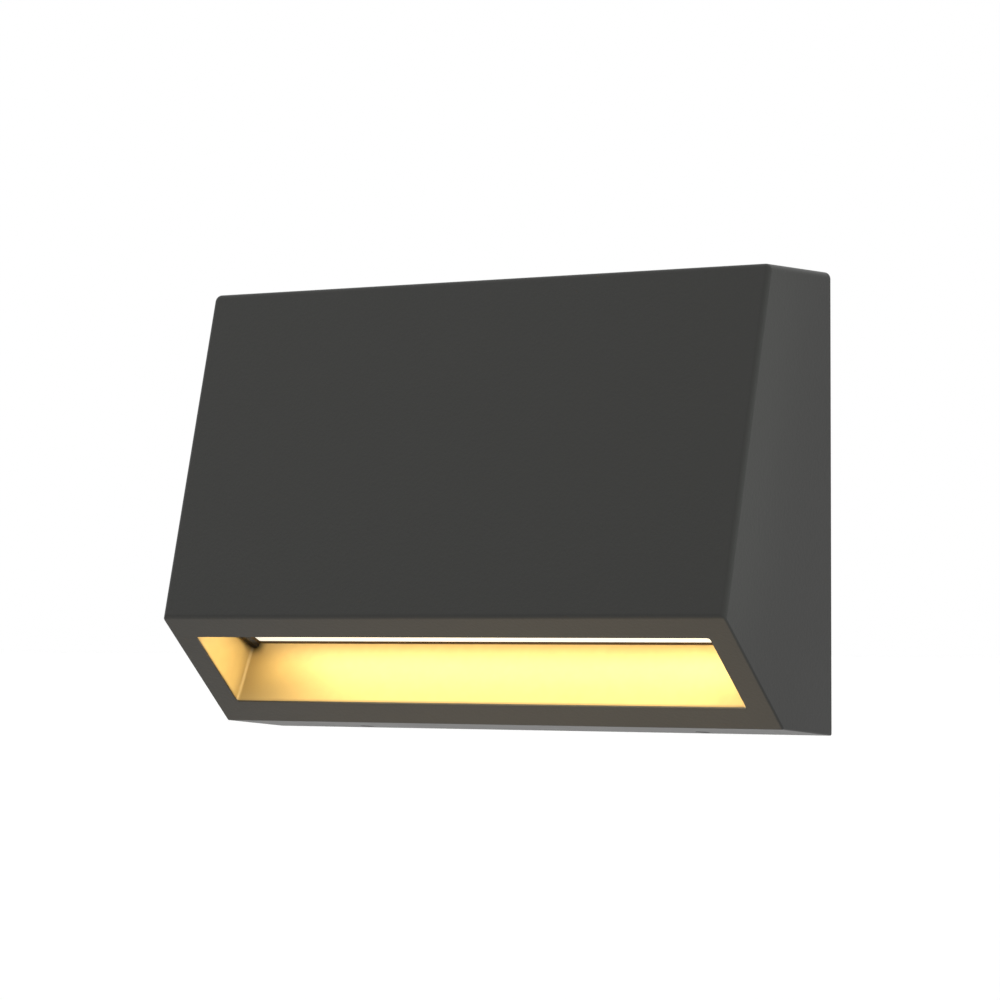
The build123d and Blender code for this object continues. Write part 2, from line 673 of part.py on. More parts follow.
with BuildPart() as rear_cover:
    with BuildSketch(at_depth(cover_depth)):
        with Locations((0, ledge_middle)):
            RectangleRounded(*cover_size, cover_radius)
        with Locations(*boss_places):
            Circle(screw_radius + slack, mode=Mode.SUBTRACT)
        with Locations((0, socket_z)):
            Rectangle(plug_width + 2 * step, plug_height + 2 * step, mode=Mode.SUBTRACT)
        with Locations((-plug_screw_x, socket_z), (plug_screw_x, socket_z)):
            Circle(tiny_screw_radius + fit, mode=Mode.SUBTRACT)
        with Locations(vent_place):
            Circle(vent_radius + fit, mode=Mode.SUBTRACT)
    extrude(amount=cover_thickness)
    with BuildSketch(at_depth(cover_front)):
        cover_bead(0)
    extrude(amount=bead_height)
    fillet(rear_cover.faces().sort_by(Axis.Y)[0].edges(), radius=bead_radius)
    with BuildSketch(at_depth(cover_depth)):
        cover_bead(bead_height)
    extrude(amount=bead_height, mode=Mode.SUBTRACT)
    with BuildSketch(at_depth(cover_front)):
        with Locations(*driver_feet):
            Circle(driver_foot / 2)
    extrude(amount=driver_stand)
    with Locations(*[facing_room(x, driver_back, z) for x, z in driver_feet]):
        Cylinder(small_screw_radius + fit, driver_stand + cover_thickness / 2,
                 align=(Align.CENTER, Align.CENTER, Align.MAX), mode=Mode.SUBTRACT)

with BuildPart() as rear_seal:
    with BuildSketch(at_depth(cover_front)):
        with Locations((0, ledge_middle)):
            RectangleRounded(cover_size[0] - 2 * slack, cover_size[1] - 2 * slack, cover_radius)
            Rectangle(cover_size[0] - 2 * (slack + rear_seal_width),
                      cover_size[1] - 2 * (slack + rear_seal_width), mode=Mode.SUBTRACT)
    extrude(amount=rear_seal_thickness)

with BuildPart() as rear_cover_screws:
    with Locations(*[facing_wall(x, cover_depth, z) for x, z in boss_places]):
        pan_screw(screw_radius, cover_thickness + rear_seal_thickness + boss_length - slack)

with BuildPart() as vent_plug:
    with Locations(facing_wall(vent_place[0], cover_depth, vent_place[1])):
        Cylinder(vent_radius + vent_rim, vent_rim, align=(Align.CENTER, Align.CENTER, Align.MIN))
        Cylinder(vent_radius, cover_thickness + vent_rim, align=(Align.CENTER, Align.CENTER, Align.MAX))
        Cylinder(vent_radius / 3, 4 * cover_thickness, mode=Mode.SUBTRACT)

with BuildPart() as plug_body:
    with BuildSketch(at_depth(plug_back)):
        with Locations((0, socket_z)):
            RectangleRounded(plug_width + plug_ear_overlap, plug_height + plug_ear_overlap, plug_radius)
    extrude(amount=cover_depth - plug_back)
    chamfer(plug_body.faces().sort_by(Axis.Y)[-1].edges(), length=plug_radius / 2)
    with BuildSketch(at_depth(cover_depth - plug_ear_thickness)):
        with Locations((0, socket_z)):
            RectangleRounded(plug_width + 2 * plug_ear, plug_height, 2 * plug_radius)
    extrude(amount=plug_ear_thickness)
    with BuildSketch(at_depth(cover_depth)):
        with Locations((0, socket_z)):
            Rectangle(plug_width, plug_height)
    extrude(amount=cover_thickness + plug_tail)
    with Locations(*[facing_wall(x, cover_depth, socket_z) for x in way_places]):
        Cylinder(pin_radius + fit, 4 * cover_depth, mode=Mode.SUBTRACT)
    with Locations(*[facing_wall(x, cover_depth, socket_z) for x in (-plug_screw_x, plug_screw_x)]):
        Cylinder(tiny_screw_radius + step, 4 * cover_thickness, mode=Mode.SUBTRACT)

with BuildPart() as plug_pins:
    with Locations(*[facing_wall(x, plug_front, socket_z) for x in way_places]):
        Cylinder(pin_radius, plug_front - plug_back + pin_reach,
                 align=(Align.CENTER, Align.CENTER, Align.MIN))

with BuildPart() as plug_screws:
    seat_depth = cover_depth - plug_ear_thickness
    with Locations(*[facing_wall(x, seat_depth, socket_z) for x in (-plug_screw_x, plug_screw_x)]):
        pan_screw(tiny_screw_radius, plug_ear_thickness + cover_thickness)

# Lamp head: driver

with BuildPart() as driver_cover:
    with BuildSketch(at_depth(driver_back)):
        with Locations((0, driver_middle)):
            Rectangle(driver_length + 2 * driver_foot, driver_height)
        with Locations(*driver_feet):
            Circle(small_screw_radius + slack, mode=Mode.SUBTRACT)
    extrude(amount=driver_base)
    with BuildSketch(at_depth(driver_back + driver_base)):
        with Locations((0, driver_middle)):
            with GridLocations(0.8 * driver_length, 0.7 * driver_height, 2, 2):
                Circle(driver_base)
    extrude(amount=driver_base)

with BuildPart() as driver_case:
    with BuildSketch(at_depth(driver_back + driver_base)):
        with Locations((0, driver_middle)):
            RectangleRounded(driver_length, driver_height, driver_wall)
    extrude(amount=driver_case_depth)
    with BuildSketch(at_depth(driver_back + driver_base)):
        with Locations((0, driver_middle)):
            Rectangle(driver_length - 2 * driver_wall, driver_height - 2 * driver_wall)
    extrude(amount=driver_case_depth - driver_wall, mode=Mode.SUBTRACT)
    with BuildSketch(at_depth(terminal_depth - driver_terminal)):
        with Locations(*[(side * (driver_length + driver_terminal) / 2, terminal_z) for side in (-1, 1)]):
            Rectangle(driver_terminal, terminal_span)
    extrude(amount=2 * driver_terminal)

with BuildPart() as driver_board:
    with BuildSketch(at_depth(driver_back + 2 * driver_base)):
        with Locations((0, driver_middle)):
            Rectangle(driver_length - 4 * driver_wall, driver_height - 4 * driver_wall)
    extrude(amount=board_thickness)

with BuildPart() as driver_components:
    component_room = driver_case_depth - driver_base - board_thickness - 2 * driver_wall
    with BuildSketch(at_depth(driver_back + 2 * driver_base + board_thickness)):
        with Locations((-0.05 * driver_length, driver_middle)):
            Rectangle(0.2 * driver_length, 0.55 * driver_height)
        with Locations((0.2 * driver_length, driver_middle)):
            Circle(0.16 * driver_height)
        with Locations((0.36 * driver_length, driver_middle - 0.15 * driver_height)):
            Rectangle(0.1 * driver_length, 0.3 * driver_height)
        with Locations(*[(-0.3 * driver_length, driver_middle + s * 0.15 * driver_height) for s in (-1, 1)]):
            Circle(0.11 * driver_height)
    extrude(amount=component_room)

with BuildPart() as driver_screws:
    with Locations(*[facing_room(x, driver_back + driver_base, z) for x, z in driver_feet]):
        pan_screw(small_screw_radius, driver_base + driver_stand)

# Lamp head: leads and earth

live_lead = lead(
    [
        (way_pitch, -plug_front, socket_z),
        (way_pitch, -plug_front - lead_stub, socket_z),
        (driver_end + 2 * lead_stub, -plug_front - lead_stub, socket_z),
        (driver_end + 2 * lead_stub, -terminal_depth, terminal_z - terminal_pitch),
        (driver_end, -terminal_depth, terminal_z - terminal_pitch),
    ],
    lead_radius,
)
neutral_lead = lead(
    [
        (0, -plug_front, socket_z),
        (0, -plug_front - 1.5 * lead_stub, socket_z),
        (driver_end + 2.6 * lead_stub, -plug_front - 1.5 * lead_stub, socket_z),
        (driver_end + 2.6 * lead_stub, -terminal_depth, terminal_z + terminal_pitch),
        (driver_end, -terminal_depth, terminal_z + terminal_pitch),
    ],
    lead_radius,
)


def led_lead(side):
    # Lead from one side of the board connector up to the driver's other end
    start = engine.offset(connector_top).from_local_coords((connector_x, side * connector_width / 4, 0))
    height_at_driver = terminal_z - side * terminal_pitch
    return lead(
        [
            start,
            start + engine_axis * lead_stub,
            (-driver_end - 2 * lead_stub, -terminal_depth, height_at_driver),
            (-driver_end, -terminal_depth, height_at_driver),
        ],
        lead_radius,
    )


led_positive_lead = led_lead(1)
led_negative_lead = led_lead(-1)

with BuildPart() as head_earth_lug:
    with Locations(Plane(origin=(head_earth_place[0], -earth_boss_depth, head_earth_place[1]),
                         x_dir=(0, 0, -1), z_dir=(0, 1, 0))):
        ring_lug(lead_radius)

with BuildPart() as head_earth_screw:
    with Locations(facing_wall(head_earth_place[0], earth_boss_depth - lug_thickness, head_earth_place[1])):
        pan_screw(screw_radius, lug_thickness + earth_boss_hole - slack)

head_earth_depth = earth_boss_depth - lead_radius - lug_crimp
head_earth_lead = lead(
    [
        (-way_pitch, -plug_front, socket_z),
        (-way_pitch, -head_earth_depth, socket_z),
        (head_earth_place[0], -head_earth_depth, socket_z),
        (head_earth_place[0], -head_earth_depth, head_earth_place[1] - lug_tongue - lug_stop - step),
    ],
    lead_radius,
)

# Clamping


def clamp_pad(x):
    # Thrust pad with a blind hole for the tip of its set screw
    with BuildPart() as piece:
        with Locations((x, -clamp_depth, clamp_pad_low)):
            Cylinder(clamp_pad_radius, clamp_pad_thickness, align=(Align.CENTER, Align.CENTER, Align.MIN))
            Cylinder(set_screw_tip_radius + step, 2 * (set_screw_tip + step), mode=Mode.SUBTRACT)
    return piece


def set_screw(x):
    # Socket set screw with a plain tip
    with BuildPart() as piece:
        with Locations((x, -clamp_depth, clamp_pad_low - fit)):
            Cylinder(set_screw_radius, clamp_pad_low - fit - set_screw_low,
                     align=(Align.CENTER, Align.CENTER, Align.MAX))
            Cylinder(set_screw_tip_radius, set_screw_tip, align=(Align.CENTER, Align.CENTER, Align.MIN))
        with BuildSketch(Plane.XY.offset(set_screw_low)):
            with Locations((x, -clamp_depth)):
                RegularPolygon(set_screw_radius / 2, 6, major_radius=False)
        extrude(amount=set_screw_radius, mode=Mode.SUBTRACT)
    return piece


clamp_pad_left = clamp_pad(-clamp_x)
clamp_pad_right = clamp_pad(clamp_x)
set_screw_left = set_screw(-clamp_x)
set_screw_right = set_screw(clamp_x)

pieces = {
    "wall_plate": wall_plate,
    "wall_gasket": wall_gasket,
    "cable_grommet": cable_grommet,
    "terminal_block": terminal_block,
    "terminal_contacts": terminal_contacts,
    "terminal_screws": terminal_screws,
    "terminal_fixing_screws": terminal_fixing_screws,
    "earth_lug": earth_lug,
    "earth_washer": earth_washer,
    "earth_screw": earth_screw,
    "earth_wire": earth_wire,
    "housing": housing,
    "reflector_tray": reflector_tray,
    "diffuser_seal": diffuser_seal,
    "diffuser": diffuser,
    "diffuser_frame": diffuser_frame,
    "led_board": led_board,
    "led_chips": led_chips,
    "led_board_screws": led_board_screws,
    "board_connector": board_connector,
    "thermal_pad": thermal_pad,
    "heat_sink": heat_sink,
    "heat_sink_screws": heat_sink_screws,
    "rear_cover": rear_cover,
    "rear_seal": rear_seal,
    "rear_cover_screws": rear_cover_screws,
    "vent_plug": vent_plug,
    "plug_body": plug_body,
    "plug_pins": plug_pins,
    "plug_screws": plug_screws,
    "driver_cover": driver_cover,
    "driver_case": driver_case,
    "driver_board": driver_board,
    "driver_components": driver_components,
    "driver_screws": driver_screws,
    "live_lead": live_lead,
    "neutral_lead": neutral_lead,
    "led_positive_lead": led_positive_lead,
    "led_negative_lead": led_negative_lead,
    "head_earth_lug": head_earth_lug,
    "head_earth_screw": head_earth_screw,
    "head_earth_lead": head_earth_lead,
    "clamp_pad_left": clamp_pad_left,
    "clamp_pad_right": clamp_pad_right,
    "set_screw_left": set_screw_left,
    "set_screw_right": set_screw_right,
}

os.makedirs("parts", exist_ok=True)
for name, piece in pieces.items():
    piece.part.label = name
    export_step(piece.part, f"parts/{name}.step")
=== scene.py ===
import json
import math
import bmesh
import bpy
import numpy as np
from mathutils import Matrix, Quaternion, Vector


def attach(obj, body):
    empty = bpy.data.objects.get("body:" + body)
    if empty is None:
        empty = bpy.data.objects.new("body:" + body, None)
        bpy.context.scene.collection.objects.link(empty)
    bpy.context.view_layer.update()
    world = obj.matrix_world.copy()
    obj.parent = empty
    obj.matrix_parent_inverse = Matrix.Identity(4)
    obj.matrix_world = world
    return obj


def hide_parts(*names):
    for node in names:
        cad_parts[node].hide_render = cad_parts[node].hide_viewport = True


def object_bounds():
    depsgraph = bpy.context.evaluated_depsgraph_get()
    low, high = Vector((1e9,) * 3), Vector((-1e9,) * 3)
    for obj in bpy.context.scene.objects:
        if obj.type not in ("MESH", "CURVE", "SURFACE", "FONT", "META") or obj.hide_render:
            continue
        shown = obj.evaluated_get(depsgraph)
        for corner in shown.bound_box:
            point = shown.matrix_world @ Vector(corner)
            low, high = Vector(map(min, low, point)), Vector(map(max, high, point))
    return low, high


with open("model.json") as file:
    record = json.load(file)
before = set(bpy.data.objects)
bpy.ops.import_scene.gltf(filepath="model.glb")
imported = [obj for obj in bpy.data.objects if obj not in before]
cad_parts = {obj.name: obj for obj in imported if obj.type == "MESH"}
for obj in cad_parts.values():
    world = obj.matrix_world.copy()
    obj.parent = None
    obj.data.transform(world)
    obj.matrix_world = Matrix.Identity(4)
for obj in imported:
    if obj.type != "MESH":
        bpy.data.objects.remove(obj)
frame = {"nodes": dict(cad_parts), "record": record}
cadLow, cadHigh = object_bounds()
nodes = frame["nodes"]
slotOf = {part["node"]: part["material_slot"] for part in frame["record"]["subparts"]}
print("frame loaded:", len(nodes), "nodes")


# one socket of a node tree; arithmetic on it adds Math nodes
class Field:
    def __init__(self, tree, socket=None):
        self.tree = tree
        self.socket = socket

    # any other node: settings first, then the values or links of its sockets
    def node(self, kind, settings=None, sockets=None, output=0):
        made = self.tree.nodes.new("ShaderNode" + kind)
        for key, value in (settings or {}).items():
            setattr(made, key, value)
        for key, value in (sockets or {}).items():
            if isinstance(value, Field):
                self.tree.links.new(value.socket, made.inputs[key])
            else:
                made.inputs[key].default_value = value
        return Field(self.tree, made.outputs[output])

    def maths(self, operation, first, second=0.0):
        return self.node("Math", {"operation": operation}, {0: first, 1: second})

    def __add__(self, other):
        return self.maths("ADD", self, other)

    def __radd__(self, other):
        return self.maths("ADD", other, self)

    def __sub__(self, other):
        return self.maths("SUBTRACT", self, other)

    def __rsub__(self, other):
        return self.maths("SUBTRACT", other, self)

    def __mul__(self, other):
        return self.maths("MULTIPLY", self, other)

    def __rmul__(self, other):
        return self.maths("MULTIPLY", other, self)

    def __truediv__(self, other):
        return self.maths("DIVIDE", self, other)

    def __rtruediv__(self, other):
        return self.maths("DIVIDE", other, self)

    def __pow__(self, other):
        return self.maths("POWER", self, other)

    def __rpow__(self, other):
        return self.maths("POWER", other, self)


# a Principled material whose constants sit on its own sockets
def newFinish(name, **constants):
    material = bpy.data.materials.new(name)
    material.use_nodes = True
    shader = material.node_tree.nodes["Principled BSDF"]
    for key, value in constants.items():
        shader.inputs[key.replace("_", " ")].default_value = value
    return material, Field(material.node_tree), shader


# links what varies over the surface into the shader
def feed(field, shader, **varying):
    for key, value in varying.items():
        field.tree.links.new(value.socket, shader.inputs[key.replace("_", " ")])


def rgba(colour, level=1.0):
    return tuple(level * channel for channel in colour) + (1.0,)


# object coordinates, turned and stretched by a Mapping node
def place(field, scale=(1.0, 1.0, 1.0), turn=(0.0, 0.0, 0.0), shift=(0.0, 0.0, 0.0)):
    where = field.node("TexCoord", output="Object")
    sockets = {"Vector": where, "Scale": scale, "Rotation": turn, "Location": shift}
    return field.node("Mapping", sockets=sockets)


def noise(field, where, size, detail=3.0, rough=0.55):
    sockets = {"Vector": where, "Scale": 1.0 / size, "Detail": detail, "Roughness": rough}
    return field.node("TexNoise", sockets=sockets, output="Fac")


def cells(field, where, size, output="Distance"):
    return field.node("TexVoronoi", sockets={"Vector": where, "Scale": 1.0 / size}, output=output)


def axes(field, where):
    split = field.node("SeparateXYZ", sockets={"Vector": where}, output="X")
    others = split.socket.node.outputs
    return split, Field(field.tree, others["Y"]), Field(field.tree, others["Z"])


# clamped smooth step from low to high
def ease(field, value, low, high):
    settings = {"interpolation_type": "SMOOTHSTEP"}
    return field.node("MapRange", settings, {"Value": value, "From Min": low, "From Max": high})


def blend(field, share, first, second):
    return field.node("Mix", {"data_type": "RGBA"}, {0: share, 6: first, 7: second}, 2)


def bump(field, height, depth):
    return field.node("Bump", sockets={"Height": height, "Distance": depth, "Strength": 1.0})


# corners of a node as an array
def cornersOf(node):
    mesh = nodes[node].data
    points = np.empty(3 * len(mesh.vertices))
    mesh.vertices.foreach_get("co", points)
    return points.reshape(-1, 3)


# tilted frame of the light engine, read from the diffuser plate: its middle and its three axes
def plateFrame(node):
    points = cornersOf(node)
    middle = (points.min(0) + points.max(0)) / 2
    spread = np.linalg.svd(points - middle, full_matrices=False)[2]
    normal = spread[2] * np.sign(spread[2][2])
    return middle, normal, np.cross(normal, (1.0, 0.0, 0.0))


engineMiddle, engineAxis, engineBack = plateFrame("diffuser")
engineTilt = math.atan2(engineAxis[1], engineAxis[2])


# normal of the mouth: the flat side of the tray's outline that faces down and forward
def mouthFacing(node):
    points = cornersOf(node)[:, 1:]
    low, front = points[points[:, 1].argmin()], points[points[:, 0].argmin()]
    run = (front - low) / np.linalg.norm(front - low)
    return np.array((0.0, -run[1], run[0]))


mouthNormal = mouthFacing("reflector_tray")


# coordinates in the light engine's frame: along the plate, across it, and up its axis
def engineCoords(field):
    middle = (engineMiddle[0], np.dot(engineMiddle, engineBack), np.dot(engineMiddle, engineAxis))
    return place(field, turn=(engineTilt, 0.0, 0.0), shift=tuple(-value for value in middle))


# matte anthracite powder coat: fine orange peel, faint cloudiness
coat = {"colour": (0.0158, 0.0161, 0.0144), "cloud": 0.05, "cloudAmount": 0.10, "peel": 0.0011,
        "peelDepth": 0.00005, "grit": 0.00028, "gritDepth": 0.000012, "gritShare": 0.3, "roughness": 0.44,
        "roughnessSwing": 0.08}


def coatFinish():
    material, field, shader = newFinish("anthracitePowderCoat", IOR=1.41)
    where = place(field)
    cloud = noise(field, where, coat["cloud"], 2.0)
    peel = noise(field, where, coat["peel"], 2.0)
    grit = noise(field, where, coat["grit"], 1.0)
    dark = rgba(coat["colour"], 1 - coat["cloudAmount"])
    light = rgba(coat["colour"], 1 + coat["cloudAmount"])
    colour = blend(field, cloud * (1 - coat["gritShare"]) + grit * coat["gritShare"], dark, light)
    rough = coat["roughness"] + (cloud + grit - 1.0) * coat["roughnessSwing"]
    height = peel * coat["peelDepth"] + grit * coat["gritDepth"]
    feed(field, shader, Base_Color=colour, Roughness=rough, Normal=bump(field, height, 1.0))
    return material


# satin gold reflector paint inside the recess, with painted shade: darker in the upright corners, most of
# all low down on the left and along the mouth's edge, near black under the rim and on the ledges at the two
# ends
gold = {
    "colour": (0.52, 0.375, 0.145), "deep": (0.47, 0.33, 0.12), "mottle": 0.004, "spray": 0.0004,
    "sprayDepth": 0.00001, "roughness": 0.42, "roughnessSwing": 0.15,
    "halfSpan": 0.01553, "border": 0.0098,  # middle of the recess to its back, its ends to the sides
    # from here on, darker colours painted as shade: upright corners, lower left of the back, mouth's edge,
    # rim ends, ledges
    "corner": (0.37, 0.262, 0.1), "cornerReach": 0.016, "sideWeight": 3.0, "rightRelief": 0.012,
    "lowShade": 0.8, "lowReach": 0.055, "lowSpan": (0.008, 0.022), "offWall": (0.0003, 0.0012),
    "mouthEdgeShade": (0.26, 0.18, 0.07), "mouthEdgeShadeReach": 0.001,
    "rimEndShade": (0.017, 0.013, 0.008), "rimEndShadeSpan": (0.0985, 0.104), "fadeStart": 0.003, "fadeEnd": 0.0006,
    "fadeDrop": 0.0026, "dropFrom": 0.006,  # the fade starts lower towards the back
    "ledge": (0.011, 0.008, 0.004), "ledgeReach": 0.0026, "ledgeUnder": 0.0017, "ledgeBlur": 0.0001,
}


def goldFinish():
    material, field, shader = newFinish("reflectorGold", IOR=1.45)
    where = place(field)
    mottle = noise(field, where, gold["mottle"], 3.0)
    spray = noise(field, where, gold["spray"], 2.0)
    along, across, level = axes(field, engineCoords(field))
    points = cornersOf("reflector_tray")
    painted = blend(field, mottle, rgba(gold["deep"]), rgba(gold["colour"]))

    # painted shade in the upright corners, by the distance from each
    outward = field.maths("ABSOLUTE", along)
    fromEnd = cadHigh[0] - gold["border"] - outward
    eased = fromEnd + ease(field, along, 0.0, cadHigh[0]) * gold["rightRelief"]
    fromSide = (gold["halfSpan"] - field.maths("ABSOLUTE", across)) * gold["sideWeight"]
    fromCorner = field.maths("SQRT", eased * eased + fromSide * fromSide)
    painted = blend(field, ease(field, fromCorner, 0.0, gold["cornerReach"]), rgba(gold["corner"]), painted)

    # painted shade on the lower left of the back
    low = ease(field, 0 - level, *gold["lowSpan"])
    low = low * (1 - ease(field, along - cadLow[0] - gold["border"], 0.0, gold["lowReach"]))
    low = low * ease(field, across, 0.0, gold["halfSpan"]) * ease(field, fromEnd, *gold["offWall"])
    painted = blend(field, low, painted, rgba(gold["corner"], gold["lowShade"]))

    # painted shade along the mouth's edge, by the height along the mouth's normal
    settings, sockets = {"operation": "DOT_PRODUCT"}, {0: where, 1: tuple(mouthNormal)}
    height = field.node("VectorMath", settings, sockets, "Value")
    mouthEdge = (points @ mouthNormal).max()
    mouthEdgeShade = ease(field, height, mouthEdge - gold["mouthEdgeShadeReach"], mouthEdge)
    painted = blend(field, mouthEdgeShade, painted, rgba(gold["mouthEdgeShade"]))

    # painted shade under the rim at the ends
    rim = ((points - engineMiddle) @ engineAxis).max()
    drop = ease(field, across, gold["dropFrom"], gold["halfSpan"]) * gold["fadeDrop"]
    rimEndShade = ease(field, level, rim - gold["fadeStart"] - drop, rim - gold["fadeEnd"])
    painted = blend(field, rimEndShade * ease(field, outward, *gold["rimEndShadeSpan"]), painted, rgba(gold["rimEndShade"]))
    # painted shade on the ledges themselves, darker still
    blur, under = gold["ledgeBlur"], rim - gold["ledgeUnder"]
    ledge = ease(field, level, under, under + blur)
    ledge = ledge * (1 - ease(field, fromEnd, gold["ledgeReach"], gold["ledgeReach"] + 2 * blur))
    ledge = ledge * ease(field, fromEnd, blur, 3 * blur)
    colour = blend(field, ledge, painted, rgba(gold["ledge"]))
    feed(field, shader, Base_Color=colour, Normal=bump(field, spray, gold["sprayDepth"]),
         Roughness=gold["roughness"] + (spray - 0.5) * gold["roughnessSwing"])
    return material


# lit opal plate: a row of lamp spots behind it, brightest on a line a little ahead of the middle
opal = {
    "colour": (0.92, 0.91, 0.87), "grain": 0.0006, "grainDepth": 0.000004, "grainTone": 0.96,
    "glow": (1.0, 0.86, 0.57), "edge": (0.8, 0.755, 0.63), "peakLevel": 23.8, "peakShift": 0.004,
    "peakWidth": 0.0062, "pitch": 0.0068, "spotDepth": 0.22,
    "leftEnd": (-0.098, -0.084), "rightEnd": (0.098, 0.108), "boostFrom": (0.055, 0.1), "boost": 0.35,
}


def opalFinish():
    material, field, shader = newFinish("opalDiffuser", IOR=1.49, Roughness=0.38, Emission_Strength=1.0)
    along, across, _ = axes(field, engineCoords(field))
    grain = noise(field, place(field), opal["grain"], 2.0)
    wave = field.maths("COSINE", along * (2 * math.pi / opal["pitch"]))
    spots = 1 - (1 + wave) * (opal["spotDepth"] / 2)
    line = math.e ** (0 - ((across + opal["peakShift"]) / opal["peakWidth"]) ** 2)
    ends = ease(field, along, *opal["leftEnd"]) * (1 - ease(field, along, *opal["rightEnd"]))
    ends = ends * (1 + ease(field, along, *opal["boostFrom"]) * opal["boost"])
    level = line * spots * ends * opal["peakLevel"]
    sockets = {0: opal["glow"], 1: level, 2: opal["edge"]}
    glow = field.node("VectorMath", {"operation": "MULTIPLY_ADD"}, sockets)
    colour = blend(field, grain, rgba(opal["colour"], opal["grainTone"]), rgba(opal["colour"]))
    feed(field, shader, Base_Color=colour, Emission_Color=glow,
         Normal=bump(field, grain, opal["grainDepth"]))
    return material


# plain moulded or sheet materials: two tones mottled together, a fine skin and a little roughness swing
def mouldedFinish(name, colour, tone=0.12, mottle=0.006, skin=0.0003, skinDepth=0.00001, roughness=0.5,
                  swing=0.15, ior=1.47, metallic=0.0, stretch=(1.0, 1.0, 1.0)):
    material, field, shader = newFinish(name, IOR=ior, Metallic=metallic)
    where = place(field, scale=stretch)
    blotch = noise(field, where, mottle, 3.0)
    fine = noise(field, where, skin, 2.0)
    shade = blend(field, blotch, rgba(colour, 1 - tone), rgba(colour, 1 + tone))
    rough = roughness + (blotch + fine - 1.0) * swing
    feed(field, shader, Base_Color=shade, Roughness=rough, Normal=bump(field, fine, skinDepth))
    return material


# zinc plate: crystal spangle with a faint yellow and blue passivation, drawn scratches along the sheet
zinc = {
    "grey": (0.60, 0.61, 0.62), "dark": (0.47, 0.485, 0.505), "spangle": 0.007, "spangleShare": 0.65,
    "spangleRough": 0.12, "yellow": (0.60, 0.57, 0.49), "blue": (0.50, 0.54, 0.60), "tint": 0.03,
    "tintSpan": (0.35, 0.65), "scratch": 0.00035, "scratchStretch": (0.03, 1.0, 1.0),
    "scratchDepth": 0.000006, "scratchRough": 0.2, "roughness": 0.32,
}


def zincFinish():
    material, field, shader = newFinish("zincPlatedSteel", Metallic=1.0)
    where = place(field)
    drift = noise(field, where, zinc["tint"], 3.0)
    crystal = cells(field, where, zinc["spangle"], "Color")
    spangle = field.node("SeparateColor", sockets={"Color": crystal})
    scratch = noise(field, place(field, scale=zinc["scratchStretch"]), zinc["scratch"], 2.0)
    tinted = blend(field, ease(field, drift, *zinc["tintSpan"]), rgba(zinc["blue"]), rgba(zinc["yellow"]))
    flake = blend(field, spangle, rgba(zinc["dark"]), rgba(zinc["grey"]))
    colour = blend(field, zinc["spangleShare"], tinted, flake)
    rough = zinc["roughness"] + spangle * zinc["spangleRough"] + (scratch - 0.5) * zinc["scratchRough"]
    feed(field, shader, Base_Color=colour, Roughness=rough,
         Normal=bump(field, scratch, zinc["scratchDepth"]))
    return material


# closed-cell foam: small domed cells with thin walls between them, with painted highlight and shade on them
foam = {"colour": (0.035, 0.035, 0.037), "cell": 0.0005, "cellDepth": 0.00012, "crownHighlightTone": 1.5,
        "creaseShadeTone": 0.5, "dust": 0.01, "roughness": 0.85, "roughnessSwing": 0.2}


def foamFinish():
    material, field, shader = newFinish("foamGasket", IOR=1.4)
    where = place(field)
    cell = cells(field, where, foam["cell"])
    dust = noise(field, where, foam["dust"], 3.0)
    # painted highlight on the crowns and painted shade in the creases between cells
    crown, creaseShade = rgba(foam["colour"], foam["crownHighlightTone"]), rgba(foam["colour"], foam["creaseShadeTone"])
    rough = foam["roughness"] + (dust - 0.5) * foam["roughnessSwing"]
    feed(field, shader, Base_Color=blend(field, cell, crown, creaseShade), Roughness=rough,
         Normal=bump(field, 1 - cell, foam["cellDepth"]))
    return material


# two-colour insulation: a yellow band wound along a green sheath
earthSheath = {"green": (0.035, 0.22, 0.05), "yellow": (0.75, 0.55, 0.03), "band": 0.0024, "share": 0.38,
               "soft": 0.08, "wind": (0.25, 2.2, 0.25), "skin": 0.0004, "skinDepth": 0.000008,
               "roughness": 0.35, "roughnessSwing": 0.2}


def earthSheathFinish():
    material, field, shader = newFinish("greenYellowInsulation", IOR=1.5)
    where = place(field)
    x, y, z = axes(field, where)
    windX, windY, windZ = earthSheath["wind"]
    wave = field.maths("SINE", (y * windY + x * windX - z * windZ) * (2 * math.pi / earthSheath["band"]))
    start, soft = 1 - 2 * earthSheath["share"], earthSheath["soft"]
    band = ease(field, wave, start - soft, start + soft)
    fine = noise(field, where, earthSheath["skin"], 2.0)
    colour = blend(field, band, rgba(earthSheath["green"]), rgba(earthSheath["yellow"]))
    rough = earthSheath["roughness"] + fine * earthSheath["roughnessSwing"]
    feed(field, shader, Base_Color=colour, Roughness=rough,
         Normal=bump(field, fine, earthSheath["skinDepth"]))
    return material


# solder mask over copper: tracks show as a slightly raised, paler grid with gaps in it
board = {"columnRatio": 2.3, "gapRatio": 4, "gapAmount": 1.6, "trackSpan": (0.72, 0.8),
         "trackDepth": 0.00003, "trackRough": 0.08, "roughness": 0.3}


def boardFinish(name, mask, track, pitch):
    material, field, shader = newFinish(name, IOR=1.52)
    where = place(field)
    x, _, z = axes(field, where)
    rows = field.maths("SINE", z * (2 * math.pi / pitch))
    columns = field.maths("SINE", x * (2 * math.pi / (board["columnRatio"] * pitch)))
    gaps = noise(field, where, board["gapRatio"] * pitch, 1.0)
    grid = field.maths("MAXIMUM", rows, columns) + (gaps - 0.5) * board["gapAmount"]
    tracks = ease(field, grid, *board["trackSpan"])
    colour = blend(field, tracks, rgba(mask), rgba(track))
    rough = board["roughness"] + tracks * board["trackRough"]
    feed(field, shader, Base_Color=colour, Roughness=rough, Normal=bump(field, tracks, board["trackDepth"]))
    return material


# lamp chip: yellow phosphor window in a white frame, lit
chip = {"phosphor": (0.95, 0.72, 0.18), "frame": (0.9, 0.89, 0.86), "pitch": 0.0068,
        "windowEdge": (0.0011, 0.00121)}


